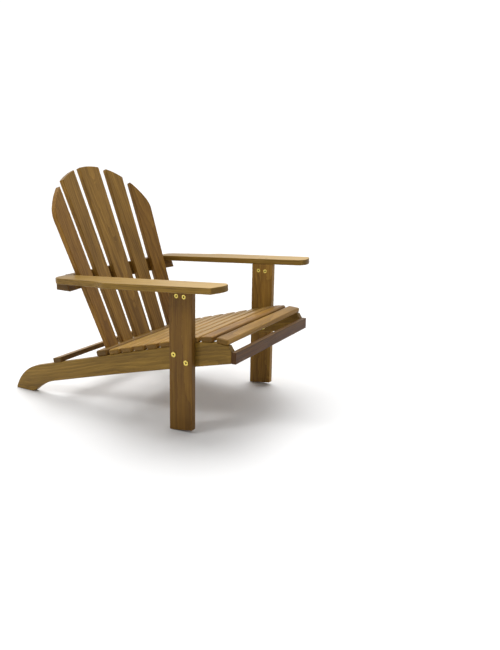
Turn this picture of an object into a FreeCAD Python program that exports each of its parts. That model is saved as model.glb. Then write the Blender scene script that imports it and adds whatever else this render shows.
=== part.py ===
"""Adirondack chair: a rigid teak garden chair with a fanned, slightly hollow back.

Frame: +Z up, +Y to the rear, X across. The origin is on the ground, midway across the chair and
midway between the front face of the apron and the heels of the rear feet. All sizes are in mm.
"""
import FreeCAD, Part
import math
import os

import Sketcher
from FreeCAD import Vector

os.makedirs("parts", exist_ok=True)
doc = FreeCAD.newDocument("adirondack_chair")

# ----------------------------------------------------------------------------------------------
# Driving sizes
# ----------------------------------------------------------------------------------------------
SIZES = {
    # whole chair
    "overall_depth": 1022,          # apron front to heel
    "frame_width": 606,             # over the outer faces of the front legs
    # front legs
    "leg_setback": 158,             # front edge of the leg behind the apron's front face
    "leg_width": 93,
    "leg_foot_flat": 14,            # level part of the leg's lower end, at its rear edge
    "leg_foot_rise": 11,            # from there the lower end rises to the front edge
    "leg_thickness": 23,
    # arms
    "arm_height": 535,              # top of the arm over the front edge of the leg
    "arm_slope": 3.8,               # the arms fall to the rear by this angle
    "arm_thickness": 22,
    "arm_setback": 20,              # tip of the arm behind the apron's front face
    "arm_end_gap": 8,               # the arms stop this short of the arm-level rail's rear face
    "arm_inner_gap": 558,           # between the inner edges of the two arms
    "arm_tip_width": 97,
    "arm_broad_width": 113,
    "arm_waist_width": 98,
    "arm_rear_width": 80,
    "arm_nose_width": 50,           # straight part of the front edge, from the inner edge
    "arm_nose_fall": 20,            # the outer front corner lies this far behind the tip
    "arm_step_front": 444,          # where the outer edge starts to step in, from the tip
    "arm_step_length": 48,
    "arm_tip_outer_radius": 5,
    "arm_nose_radius": 60,
    "arm_tip_inner_radius": 32,
    "arm_rear_radius": 40,
    "arm_step_radius": 60,
    "arm_rounding": 3.5,
    # side rails
    "side_rail_thickness": 24,
    "crest_height": 334,            # highest point of the side rails
    "crest_setback": 74,            # that point behind the apron's front face
    "crest_radius": 300,
    "nose_length": 44,              # from the crest to the front end of the rounded top
    "nose_chamfer": 12,
    "side_rail_front_height": 272,  # underside at the front end
    "side_rail_rear_height": 69,    # underside where the foot begins
    "foot_neck": 223,               # where the foot begins, in front of the heel
    "underside_radius": 27000,
    "foot_radius": 270,
    "foot_length": 88,
    "toe_rise": 9,
    "toe_run": 15,
    "heel_rise": 5,
    "heel_radius": 175,
    "heel_run": 117,                # from the heel forward to where its curve begins
    "heel_top_height": 112.7,       # height of that point; the seat falls from the crest to it
    # front apron
    "apron_thickness": 18,
    "apron_height": 41,
    # seat
    "slat_width": 48,
    "slat_thickness": 20,
    "slat_spacing": 11,
    "slat_rounding": 7,
    "front_slat_offset": 19,        # middle of the front slat in front of the crest
    "lower_rail_width": 51,
    "lower_rail_thickness": 23,
    "lower_rail_bow": 18,           # how much deeper it is in the middle than at its ends
    "lower_rail_rounding": 7,
    # back
    "back_lean": 21.9,              # from the vertical
    "foot_offset": 13.7,            # front of the centre slat behind the middle of the lower rail
    "back_hollow_radius": 1800,
    "back_slat_thickness": 19.5,
    "back_foot_drop": 272,          # lower end of the slats below the reference height, along them
    "inner_gap_foot": 27,
    "inner_gap_arch": 36,
    "outer_gap_foot": 29.5,
    "outer_gap_arch": 31.7,
    "centre_slat_foot_width": 88,
    "centre_slat_arch_width": 113,
    "middle_slat_foot_width": 66,
    "middle_slat_arch_width": 86,
    "outer_slat_foot_width": 64,
    "outer_slat_arch_width": 94,
    "arch_reference": 430,          # where the arch widths are measured, above the reference height
    "arch_rise": 444,               # top of the arch above the reference height, along the slats
    "arch_radius": 315,
    "arch_corner_radius": 85,
    "back_slat_rounding": 3,
    # arm-level back rail
    "back_rail_depth": 15,          # at its top edge, behind the centre slat
    "back_rail_height": 50,         # of its rear face
    "back_rail_overhang": 48,       # each end past the arm's inner edge
    # rear stretcher
    "stretcher_width": 42,
    "stretcher_thickness": 19,
    "stretcher_distance": 745,      # from the crest along the top of the side rails
    # edges and fits
    "edge_rounding": 2.5,
    "housing_depth": 6,             # of the back slats' feet in the lower rail
    "housing_clearance": 0.3,
    "bolt_clearance": 0.5,          # on the diameter
    # fasteners
    "leg_bolt_head_diameter": 18.5,
    "leg_bolt_head_thickness": 2.4,
    "leg_bolt_diameter": 8,
    "leg_bolt_socket": 6,
    "leg_bolt_socket_depth": 4.5,
    "sleeve_nut_diameter": 10.5,
    "sleeve_nut_length": 17,
    "sleeve_nut_flange_thickness": 1.6,
    "leg_bolt_high_setback": 74,    # behind the leg's front edge
    "leg_bolt_high_height": 276,
    "leg_bolt_low_setback": 23,
    "leg_bolt_low_height": 254,
    "barrel_nut_diameter": 15,
    "barrel_nut_drop": 53,          # below the top of the arm
    "barrel_nut_spacing": 30,
    "barrel_nut_setback": 48,       # middle of the pair behind the leg's front edge
    "barrel_nut_socket": 6,
    "barrel_nut_socket_depth": 4,
    "arm_bolt_diameter": 6,
    "arm_bolt_head_diameter": 12,
    "arm_bolt_head_thickness": 3,
    "plug_thickness": 6,
    "deck_plug_diameter": 9,
    "screw_diameter": 4.5,
    "screw_head_diameter": 8.5,
    "screw_head_height": 2.5,
    "deck_screw_length": 34,
    "deck_screw_inset": 12,         # from the outer face of the side rail
    "back_screw_length": 29,
    "back_screw_head_distance": 16,  # head behind the rear face of the slat
    "back_screw_spacing": 34,
    "foot_screw_length": 40,
    "foot_screw_head_drop": 12,     # head below the slat's foot
    "arm_screw_length": 36,
    "arm_screw_head_drop": 22,      # head below the arm
    "arm_screw_setback": 26,        # middle of the pair in front of the arm-level rail's rear face
    "arm_screw_spacing": 22,
    "dowel_diameter": 8,
    "dowel_length": 30,
    "dowel_spacing": 20,
}

# Places that follow from the driving sizes, each a formula on the sheet
PLACES = {
    "front_y": "-sizes.overall_depth / 2",
    "leg_front_y": "places.front_y + sizes.leg_setback",
    "rail_outer_x": "sizes.frame_width / 2 - sizes.leg_thickness",
    "rail_front_y": "places.front_y + sizes.apron_thickness",
    "heel_y": "sizes.overall_depth / 2",
    "crest_y": "places.front_y + sizes.crest_setback",
    "heel_top_y": "places.heel_y - sizes.heel_run",
    # the seat's slope: the line down to the heel that touches the round crest
    "fall_run": "places.heel_top_y - places.crest_y",
    "fall_rise": "sizes.heel_top_height - sizes.crest_height + sizes.crest_radius",
    "seat_slope": "(90 deg - atan(places.fall_rise / places.fall_run)"
                  " - acos(sizes.crest_radius / sqrt(places.fall_run ^ 2 + places.fall_rise ^ 2)))"
                  " / (1 deg)",
    # start of the straight slope behind the rounded crest
    "slope_arc": "sizes.crest_radius * places.seat_slope * pi / 180",
    "slope_y": "places.crest_y + sizes.crest_radius * sin(places.seat_slope)",
    "slope_z": "sizes.crest_height - sizes.crest_radius * (1 - cos(places.seat_slope))",
    "nose_y": "places.crest_y - sizes.nose_length",
    "nose_z": "sizes.crest_height - sizes.crest_radius"
              " + sqrt(sizes.crest_radius ^ 2 - sizes.nose_length ^ 2)",
    "apron_top_z": "sizes.side_rail_front_height + sizes.apron_height",
    "slat_pitch": "sizes.slat_width + sizes.slat_spacing",
    "seat_length": "2 * places.rail_outer_x",
    "lower_rail_distance": "8.5 * places.slat_pitch - sizes.front_slat_offset"
                           " + (sizes.slat_spacing + sizes.lower_rail_width) / 2",
    # lower front edge of the centre back slat, and its front face at the reference height
    "foot_run": "places.lower_rail_distance + sizes.foot_offset - places.slope_arc",
    "foot_lift": "sizes.lower_rail_thickness - sizes.housing_depth",
    "foot_y": "places.slope_y + places.foot_run * cos(places.seat_slope)"
              " + places.foot_lift * sin(places.seat_slope)",
    "foot_z": "places.slope_z - places.foot_run * sin(places.seat_slope)"
              " + places.foot_lift * cos(places.seat_slope)",
    "back_y": "places.foot_y + sizes.back_foot_drop * sin(sizes.back_lean)",
    "back_z": "places.foot_z + sizes.back_foot_drop * cos(sizes.back_lean)",
    # middles of the middle and outer pairs of back slats at the reference height
    "foot_share": "sizes.back_foot_drop / (sizes.back_foot_drop + sizes.arch_reference)",
    "inner_gap_here": "sizes.inner_gap_foot"
                      " + (sizes.inner_gap_arch - sizes.inner_gap_foot) * places.foot_share",
    "outer_gap_here": "sizes.outer_gap_foot"
                      " + (sizes.outer_gap_arch - sizes.outer_gap_foot) * places.foot_share",
    "centre_here": "sizes.centre_slat_foot_width"
                   " + (sizes.centre_slat_arch_width - sizes.centre_slat_foot_width) * places.foot_share",
    "middle_here": "sizes.middle_slat_foot_width"
                   " + (sizes.middle_slat_arch_width - sizes.middle_slat_foot_width) * places.foot_share",
    "outer_here": "sizes.outer_slat_foot_width"
                  " + (sizes.outer_slat_arch_width - sizes.outer_slat_foot_width) * places.foot_share",
    "middle_x": "places.centre_here / 2 + places.inner_gap_here + places.middle_here / 2",
    "outer_x": "places.middle_x + places.middle_here / 2 + places.outer_gap_here"
               " + places.outer_here / 2",
    "arm_top_z": "sizes.arm_height",
    "arm_tip_y": "places.front_y + sizes.arm_setback",
    "arm_tip_z": "sizes.arm_height + (places.leg_front_y - places.arm_tip_y) * tan(sizes.arm_slope)",
    "arm_drop": "sizes.arm_thickness / cos(sizes.arm_slope)",
    # rear face of the arm-level rail, whose top edge lies in the plane of the arms' tops
    "arm_rail_rear_y": "(places.back_y + sizes.back_slat_thickness / cos(sizes.back_lean)"
                       " + sizes.back_rail_depth + tan(sizes.back_lean) * (sizes.arm_height"
                       " + places.leg_front_y * tan(sizes.arm_slope) - places.back_z))"
                       " / (1 + tan(sizes.arm_slope) * tan(sizes.back_lean))",
    "arm_rail_top_z": "sizes.arm_height"
                      " - (places.arm_rail_rear_y - places.leg_front_y) * tan(sizes.arm_slope)",
    "arm_rail_low_z": "places.arm_rail_top_z - sizes.back_rail_height",
    "arm_rail_end_x": "sizes.arm_inner_gap / 2 + sizes.back_rail_overhang",
    "arm_length": "(places.arm_rail_rear_y - sizes.arm_end_gap - places.arm_tip_y)"
                  " / cos(sizes.arm_slope)",
    "back_screw_behind": "sizes.back_slat_thickness + sizes.back_screw_head_distance",
    "back_screw_up": "(places.arm_rail_top_z - sizes.back_rail_height / 2"
                     " + places.back_screw_behind * sin(sizes.back_lean) - places.back_z)"
                     " / cos(sizes.back_lean)",
    # the rear faces of the back slats meet in two lines on each side: facets seen along the slats
    "middle_turn": "places.middle_x / sizes.back_hollow_radius * 180 / pi",
    "outer_turn": "places.outer_x / sizes.back_hollow_radius * 180 / pi",
    "middle_rear_x": "places.middle_x + sizes.back_slat_thickness * sin(places.middle_turn)",
    "middle_rear_y": "sizes.back_slat_thickness * cos(places.middle_turn)"
                     " - places.middle_x ^ 2 / (2 * sizes.back_hollow_radius)",
    "outer_rear_x": "places.outer_x + sizes.back_slat_thickness * sin(places.outer_turn)",
    "outer_rear_y": "sizes.back_slat_thickness * cos(places.outer_turn)"
                    " - places.outer_x ^ 2 / (2 * sizes.back_hollow_radius)",
    "inner_fold_x": "places.middle_rear_x"
                    " + (places.middle_rear_y - sizes.back_slat_thickness) / tan(places.middle_turn)",
    "outer_fold_x": "(places.outer_rear_y - places.middle_rear_y"
                    " + tan(places.outer_turn) * places.outer_rear_x"
                    " - tan(places.middle_turn) * places.middle_rear_x)"
                    " / (tan(places.outer_turn) - tan(places.middle_turn))",
    "outer_fold_y": "places.middle_rear_y"
                    " - tan(places.middle_turn) * (places.outer_fold_x - places.middle_rear_x)",
    "facet_end_x": "places.arm_rail_end_x + 10",
    "facet_end_y": "places.outer_rear_y"
                   " - tan(places.outer_turn) * (places.facet_end_x - places.outer_rear_x)",
    "arch_centre": "sizes.arch_rise - sizes.arch_radius",
    "barrel_x": "(sizes.frame_width - sizes.leg_thickness) / 2",
    "barrel_z": "sizes.arm_height - sizes.barrel_nut_drop",
}

# Each straight edge of the back slats: its distance from the middle of the chair at the foot, its
# flare per mm of height, and where it meets the arch
BACK_EDGES = {
    "centre_edge": ("sizes.centre_slat_{end}_width / 2", None),
    "middle_inner": ("sizes.inner_gap_{end}", "centre_edge"),
    "middle_outer": ("sizes.middle_slat_{end}_width", "middle_inner"),
    "outer_inner": ("sizes.outer_gap_{end}", "middle_outer"),
    "outer_outer": ("sizes.outer_slat_{end}_width", "outer_inner"),
}
for edge, (width, before) in BACK_EDGES.items():
    for end in ("foot", "arch"):
        start = f"places.{before}_{end} + " if before else ""
        PLACES[f"{edge}_{end}"] = start + width.format(end=end)
    PLACES[f"{edge}_flare"] = (f"(places.{edge}_arch - places.{edge}_foot)"
                               " / (sizes.arch_reference + sizes.back_foot_drop)")
    PLACES[f"{edge}_level"] = f"places.{edge}_foot + places.{edge}_flare * sizes.back_foot_drop"
    PLACES[f"{edge}_mid"] = f"places.arch_centre - places.{edge}_level * places.{edge}_flare"
    PLACES[f"{edge}_top_z"] = (
        f"(places.{edge}_mid + sqrt(places.{edge}_mid ^ 2 - (1 + places.{edge}_flare ^ 2)"
        f" * (places.{edge}_level ^ 2 + places.arch_centre ^ 2 - sizes.arch_radius ^ 2)))"
        f" / (1 + places.{edge}_flare ^ 2)")
    PLACES[f"{edge}_top_x"] = f"places.{edge}_level + places.{edge}_flare * places.{edge}_top_z"


def make_sheet(name, cells):
    """A sheet with one aliased cell per entry."""
    sheet = doc.addObject("Spreadsheet::Sheet", name)
    for row, (alias, content) in enumerate(cells.items(), start=1):
        sheet.set(f"A{row}", alias)
        sheet.set(f"B{row}", content)
        sheet.setAlias(f"B{row}", alias)
    return sheet


sizes = make_sheet("sizes", {alias: str(number) for alias, number in SIZES.items()})
places = make_sheet("places", {alias: "=" + formula for alias, formula in PLACES.items()})
doc.recompute()


def number(formula):
    """The present value of a formula on the sheets."""
    return float(sizes.evalExpression(str(formula)))


# ----------------------------------------------------------------------------------------------
# Helpers
# ----------------------------------------------------------------------------------------------
def at(x, y, z, *turns):
    """Formula of a placement: a position, then turns about X, Y or Z, given as (axis, angle)."""
    axes = {"x": "vector(1; 0; 0)", "y": "vector(0; 1; 0)", "z": "vector(0; 0; 1)"}
    turn_text = " * ".join(f"rotation({axes[axis]}; {angle})" for axis, angle in turns)
    return f"placement(vector({x}; {y}; {z}); {turn_text or 'rotation(vector(0; 0; 1); 0)'})"


def origin_plane(body, role):
    return [feature for feature in body.Origin.OriginFeatures if feature.Role == role][0]


def arc_centre(start, end, radius, bulge_left):
    """Centre of the arc from start to end; bulge_left puts the arc left of the way there."""
    half = (end - start) * 0.5
    rise = math.sqrt(max(radius ** 2 - half.Length ** 2, 0.0))
    normal = Vector(-half.y, half.x, 0).normalize()
    return start + half + normal * (-rise if bulge_left else rise)


def outline(body, name, plane, corners):
    """A closed sketch. Each corner is (x, y) or (x, y, radius, side): an arc leads to that corner."""
    sketch = body.newObject("Sketcher::SketchObject", name)
    sketch.AttachmentSupport = [(origin_plane(body, plane), "")]
    sketch.MapMode = "FlatFace"
    points = [Vector(number(corner[0]), number(corner[1]), 0) for corner in corners]
    ends = []
    for index, corner in enumerate(corners):
        start = points[index - 1]
        end = points[index]
        if len(corner) == 2:
            edge = sketch.addGeometry(Part.LineSegment(start, end), False)
            ends.append((edge, 1, 2))
            continue
        radius = number(corner[2])
        left = corner[3] == "left"
        centre = arc_centre(start, end, radius, left)
        first, last = (end, start) if left else (start, end)
        angles = [math.atan2(point.y - centre.y, point.x - centre.x) for point in (first, last)]
        circle = Part.Circle(centre, Vector(0, 0, 1), radius)
        edge = sketch.addGeometry(Part.ArcOfCircle(circle, angles[0], angles[1]), False)
        ends.append((edge, 2, 1) if left else (edge, 1, 2))
        constraint = sketch.addConstraint(Sketcher.Constraint("Radius", edge, radius))
        sketch.setExpression(f"Constraints[{constraint}]", str(corner[2]))
    for index, corner in enumerate(corners):
        edge, _, finish = ends[index]
        after, begin, _ = ends[(index + 1) % len(corners)]
        sketch.addConstraint(Sketcher.Constraint("Coincident", edge, finish, after, begin))
        for kind, value in (("DistanceX", corner[0]), ("DistanceY", corner[1])):
            constraint = sketch.addConstraint(
                Sketcher.Constraint(kind, -1, 1, edge, finish, number(value)))
            sketch.setExpression(f"Constraints[{constraint}]", str(value))
    return sketch


def board(name, plane, corners, thickness, rounding=None, placement=None, midplane=False,
          reverse=False, rounded_corners=()):
    """A plank: an outline padded to its thickness, with some corners rounded and its edges softened.

    Each rounded corner is (radius, x, y) in the outline's own plane.
    """
    body = doc.addObject("PartDesign::Body", name)
    sketch = outline(body, name + "_outline", plane, corners)
    pad = body.newObject("PartDesign::Pad", name + "_pad")
    pad.Profile = sketch
    pad.setExpression("Length", str(thickness))
    pad.Midplane = midplane
    pad.Reversed = reverse
    doc.recompute()
    last = pad
    for radius, x, y in rounded_corners:
        corner = Vector(number(x), number(y), 0)
        edges = []
        for index, edge in enumerate(last.Shape.Edges, start=1):
            middle = edge.CenterOfMass
            flat = Vector(middle.x, middle.z if plane == "XZ_Plane" else middle.y, 0)
            if flat.distanceToPoint(corner) < 0.1:
                edges.append(f"Edge{index}")
        fillet = body.newObject("PartDesign::Fillet", name + "_corner")
        fillet.Base = (last, edges)
        fillet.setExpression("Radius", radius)
        doc.recompute()
        last = fillet
    if rounding:
        fillet = body.newObject("PartDesign::Fillet", name + "_edges")
        fillet.Base = (last, [f"Face{i}" for i in range(1, len(last.Shape.Faces) + 1)])
        fillet.UseAllEdges = True
        fillet.setExpression("Radius", str(rounding))
        doc.recompute()
    if placement:
        body.setExpression("Placement", placement)
    return body


def soften(name, shaped, radius, test):
    """Round the edges of a shaped piece that pass the test."""
    doc.recompute()
    body = doc.addObject("PartDesign::Body", name)
    body.BaseFeature = shaped
    doc.recompute()
    start = body.Group[0]
    edges = [f"Edge{i}" for i, edge in enumerate(start.Shape.Edges, start=1) if test(edge)]
    fillet = body.newObject("PartDesign::Fillet", name + "_edges")
    fillet.Base = (start, edges)
    fillet.setExpression("Radius", radius)
    doc.recompute()
    return body


def cylinder(name, diameter, length, placement):
    rod = doc.addObject("Part::Cylinder", name)
    rod.setExpression("Radius", f"({diameter}) / 2")
    rod.setExpression("Height", str(length))
    rod.setExpression("Placement", placement)
    return rod


def fuse(name, shapes, placement=None):
    joined = doc.addObject("Part::MultiFuse", name)
    joined.Shapes = shapes
    if placement:
        joined.setExpression("Placement", placement)
    return joined


def group(name, solids):
    """Identical fasteners: separate solids in one node."""
    compound = doc.addObject("Part::Compound", name)
    compound.Links = solids
    return compound


def cut(name, base, tools):
    """The finished piece: a board less its holes and housings."""
    tool = group(name + "_holes", tools) if len(tools) > 1 else tools[0]
    result = doc.addObject("Part::Cut", name)
    result.Base = base
    result.Tool = tool
    return result


HERE = at(0, 0, 0)


def wood_screw(name, length, placement):
    """Countersunk screw; its head's flat top is at its origin and it points along -Z."""
    shank = cylinder(name + "_shank", "sizes.screw_diameter", length, at(0, 0, 0, ("x", 180)))
    head = doc.addObject("Part::Cone", name + "_head")
    head.setExpression("Radius1", "sizes.screw_head_diameter / 2")
    head.setExpression("Radius2", "sizes.screw_diameter / 2")
    head.setExpression("Height", "sizes.screw_head_height")
    head.setExpression("Placement", at(0, 0, 0, ("x", 180)))
    return fuse(name, [shank, head], placement)


nodes = {}


def keep(name, piece):
    piece.Label = name
    nodes[name] = piece


# ----------------------------------------------------------------------------------------------
# Places along the top of the side rails and on the back
# ----------------------------------------------------------------------------------------------
def on_rail(distance, x=0, lift=0, turns=()):
    """Placement on top of the side rails, at a distance behind the crest along their top."""
    angle = f"(({distance}) < places.slope_arc ? ({distance}) / sizes.crest_radius * 180 / pi"\
            " : places.seat_slope)"
    beyond = f"(({distance}) < places.slope_arc ? 0 : ({distance}) - places.slope_arc)"
    y = f"places.crest_y + sizes.crest_radius * sin({angle}) + {beyond} * cos({angle})"\
        f" + ({lift}) * sin({angle})"
    z = f"sizes.crest_height - sizes.crest_radius * (1 - cos({angle})) - {beyond} * sin({angle})"\
        f" + ({lift}) * cos({angle})"
    return at(x, y, z, ("x", f"-({angle})"), *turns)


def on_back(x, across=0, up=0, behind=0, turns=()):
    """Placement on the front face of the back slat whose middle is at x.

    Its local X runs across the slat, Z up along it and Y through it to the rear.
    """
    turn = f"(({x}) / sizes.back_hollow_radius * 180 / pi)"
    forward = f"(({x}) ^ 2 / (2 * sizes.back_hollow_radius) + ({across}) * sin({turn})"\
              f" - ({behind}) * cos({turn}))"
    sideways = f"({x}) + ({across}) * cos({turn}) + ({behind}) * sin({turn})"
    y = f"places.back_y - {forward} * cos(sizes.back_lean) + ({up}) * sin(sizes.back_lean)"
    z = f"places.back_z + {forward} * sin(sizes.back_lean)"\
        f" + ({up}) * cos(sizes.back_lean)"
    return at(sideways, y, z, ("x", "-sizes.back_lean"), ("z", f"-{turn}"), *turns)


SIDES = (("right", -1), ("left", 1))
SLAT_COUNT = 9

# ----------------------------------------------------------------------------------------------
# Fasteners
# ----------------------------------------------------------------------------------------------
deck_distances = [f"({index} * places.slat_pitch - sizes.front_slat_offset)"
                  for index in range(SLAT_COUNT)]
deck_lifts = ["sizes.slat_thickness"] * SLAT_COUNT
deck_distances.append("places.lower_rail_distance")
deck_lifts.append("sizes.lower_rail_thickness")
deck_distances.append("sizes.stretcher_distance")
deck_lifts.append("sizes.stretcher_thickness")

deck_screws = {}
deck_plugs = {}
for side, sign in SIDES:
    screw_x = f"{sign} * (places.rail_outer_x - sizes.deck_screw_inset)"
    for index, (distance, lift) in enumerate(zip(deck_distances, deck_lifts)):
        tag = f"{side}_{index + 1}"
        head_lift = f"({lift}) - sizes.plug_thickness"
        deck_screws[side, index] = wood_screw(
            f"deck_screw_{tag}", "sizes.deck_screw_length", on_rail(distance, screw_x, head_lift))
        deck_plugs[side, index] = cylinder(
            f"deck_plug_{tag}", "sizes.deck_plug_diameter", "sizes.plug_thickness",
            on_rail(distance, screw_x, head_lift))
keep("deck_screws", group("deck_screws", list(deck_screws.values())))
keep("deck_screw_plugs", group("deck_screw_plugs", list(deck_plugs.values())))

# bolts through each leg and side rail, with a sleeve nut on the inner side
leg_bolts = {}
sleeve_nuts = {}
leg_bolt_bores = {}
for side, sign in SIDES:
    for level in ("high", "low"):
        tag = f"{side}_{level}"
        bolt_y = f"places.leg_front_y + sizes.leg_bolt_{level}_setback"
        bolt_z = f"sizes.leg_bolt_{level}_height"
        quarter = 90 * sign
        outside = at(f"{sign} * sizes.frame_width / 2", bolt_y, bolt_z, ("y", quarter))
        head = cylinder(f"leg_bolt_{tag}_head", "sizes.leg_bolt_head_diameter",
                        "sizes.leg_bolt_head_thickness", HERE)
        shank_length = "sizes.leg_thickness + sizes.side_rail_thickness - 6"
        shank = cylinder(f"leg_bolt_{tag}_shank", "sizes.leg_bolt_diameter", shank_length,
                         at(0, 0, 0, ("x", 180)))
        blank = fuse(f"leg_bolt_{tag}_blank", [head, shank])
        socket = doc.addObject("Part::Prism", f"leg_bolt_{tag}_socket")
        socket.Polygon = 6
        socket.setExpression("Circumradius", "sizes.leg_bolt_socket / sqrt(3)")
        socket.setExpression("Height", "sizes.leg_bolt_socket_depth")
        socket.setExpression("Placement", at(
            0, 0, "sizes.leg_bolt_head_thickness - sizes.leg_bolt_socket_depth"))
        bolt = doc.addObject("Part::Cut", f"leg_bolt_{tag}")
        bolt.Base = blank
        bolt.Tool = socket
        bolt.setExpression("Placement", outside)
        leg_bolts[tag] = bolt
        inside = at(f"{sign} * (places.rail_outer_x - sizes.side_rail_thickness)", bolt_y, bolt_z,
                    ("y", quarter))
        flange = cylinder(f"sleeve_nut_{tag}_flange", "sizes.leg_bolt_head_diameter",
                          "sizes.sleeve_nut_flange_thickness",
                          at(0, 0, "-sizes.sleeve_nut_flange_thickness"))
        barrel = cylinder(f"sleeve_nut_{tag}_barrel", "sizes.sleeve_nut_diameter",
                          "sizes.sleeve_nut_length", HERE)
        thread = cylinder(f"sleeve_nut_{tag}_thread", "sizes.leg_bolt_diameter",
                          "sizes.sleeve_nut_length + sizes.sleeve_nut_flange_thickness + 2",
                          at(0, 0, "-sizes.sleeve_nut_flange_thickness - 1"))
        nut = doc.addObject("Part::Cut", f"sleeve_nut_{tag}")
        nut.Base = fuse(f"sleeve_nut_{tag}_blank", [flange, barrel])
        nut.Tool = thread
        nut.setExpression("Placement", inside)
        sleeve_nuts[tag] = nut
        through = cylinder(f"leg_bore_{tag}", "sizes.leg_bolt_diameter + sizes.bolt_clearance",
                           "sizes.leg_thickness + sizes.side_rail_thickness + 2",
                           at(f"{sign} * (sizes.frame_width / 2 + 1)", bolt_y, bolt_z,
                              ("y", -quarter)))
        wide = cylinder(f"sleeve_bore_{tag}", "sizes.sleeve_nut_diameter + sizes.bolt_clearance",
                        "sizes.sleeve_nut_length", inside)
        leg_bolt_bores[tag] = fuse(f"leg_bolt_bore_{tag}", [through, wide])
keep("leg_bolts", group("leg_bolts", list(leg_bolts.values())))
keep("leg_sleeve_nuts", group("leg_sleeve_nuts", list(sleeve_nuts.values())))

# bolts down through each arm into barrel nuts that lie across the leg
arm_bolts = {}
arm_bolt_bores = {}
arm_bolt_mouths = {}
barrel_nuts = {}
barrel_bores = {}
arm_bolt_plugs = {}
for side, sign in SIDES:
    for name, way in (("front", -1), ("rear", 1)):
        tag = f"{side}_{name}"
        x = f"{sign} * places.barrel_x"
        y = f"(places.leg_front_y + sizes.barrel_nut_setback + {way} * sizes.barrel_nut_spacing / 2)"
        top_z = f"(sizes.arm_height - ({y} - places.leg_front_y) * tan(sizes.arm_slope))"
        head_z = f"({top_z} - sizes.plug_thickness - sizes.arm_bolt_head_thickness)"
        length = f"({head_z} - places.barrel_z + sizes.barrel_nut_diameter / 2)"
        head = cylinder(f"arm_bolt_{tag}_head", "sizes.arm_bolt_head_diameter",
                        "sizes.arm_bolt_head_thickness", at(x, y, head_z))
        shank = cylinder(f"arm_bolt_{tag}_shank", "sizes.arm_bolt_diameter", length,
                         at(x, y, head_z, ("x", 180)))
        arm_bolts[tag] = fuse(f"arm_bolt_{tag}", [head, shank])
        arm_bolt_bores[tag] = cylinder(
            f"arm_bolt_bore_{tag}", "sizes.arm_bolt_diameter + sizes.bolt_clearance",
            f"{length} + 2", at(x, y, f"{head_z}", ("x", 180)))
        arm_bolt_mouths[tag] = cylinder(
            f"arm_bolt_mouth_{tag}", "sizes.arm_bolt_head_diameter",
            "sizes.arm_bolt_head_thickness + 2 * sizes.plug_thickness", at(x, y, head_z))
        round_bar = cylinder(f"barrel_nut_{tag}_bar", "sizes.barrel_nut_diameter",
                             "sizes.leg_thickness",
                             at(f"{x} - sizes.leg_thickness / 2", y, "places.barrel_z", ("y", 90)))
        thread = cylinder(f"barrel_nut_{tag}_thread", "sizes.arm_bolt_diameter",
                          "sizes.barrel_nut_diameter + 2",
                          at(x, y, "places.barrel_z - sizes.barrel_nut_diameter / 2 - 1"))
        sockets = []
        for end in (-1, 1):
            socket = doc.addObject("Part::Prism", f"barrel_nut_{tag}_socket")
            socket.Polygon = 6
            socket.setExpression("Circumradius", "sizes.barrel_nut_socket / sqrt(3)")
            socket.setExpression("Height", "2 * sizes.barrel_nut_socket_depth")
            socket.setExpression("Placement", at(
                f"{x} + {end} * sizes.leg_thickness / 2 - sizes.barrel_nut_socket_depth", y,
                "places.barrel_z", ("y", 90)))
            sockets.append(socket)
        barrel_nuts[tag] = cut(f"barrel_nut_{tag}", round_bar, [thread] + sockets)
        barrel_bores[tag] = cylinder(
            f"barrel_bore_{tag}", "sizes.barrel_nut_diameter", "sizes.leg_thickness + 2",
            at(f"{x} - sizes.leg_thickness / 2 - 1", y, "places.barrel_z", ("y", 90)))
        arm_bolt_plugs[tag] = cylinder(f"arm_bolt_plug_{tag}", "sizes.arm_bolt_head_diameter",
                                       "sizes.plug_thickness",
                                       at(x, y, f"{top_z} - sizes.plug_thickness"))
keep("arm_bolts", group("arm_bolts", list(arm_bolts.values())))
keep("arm_barrel_nuts", group("arm_barrel_nuts", list(barrel_nuts.values())))
keep("arm_bolt_plugs", group("arm_bolt_plugs", list(arm_bolt_plugs.values())))

# dowels between the apron and the front ends of the side rails
dowels = {}
for side, sign in SIDES:
    for name, way in (("low", -1), ("high", 1)):
        dowels[side, name] = cylinder(
            f"dowel_{side}_{name}", "sizes.dowel_diameter", "sizes.dowel_length",
            at(f"{sign} * (places.rail_outer_x - sizes.side_rail_thickness / 2)",
               "places.rail_front_y - sizes.apron_thickness / 2",
               f"sizes.side_rail_front_height + sizes.apron_height / 2"
               f" + {way} * sizes.dowel_spacing / 2", ("x", -90)))
keep("apron_dowels", group("apron_dowels", list(dowels.values())))

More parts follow.
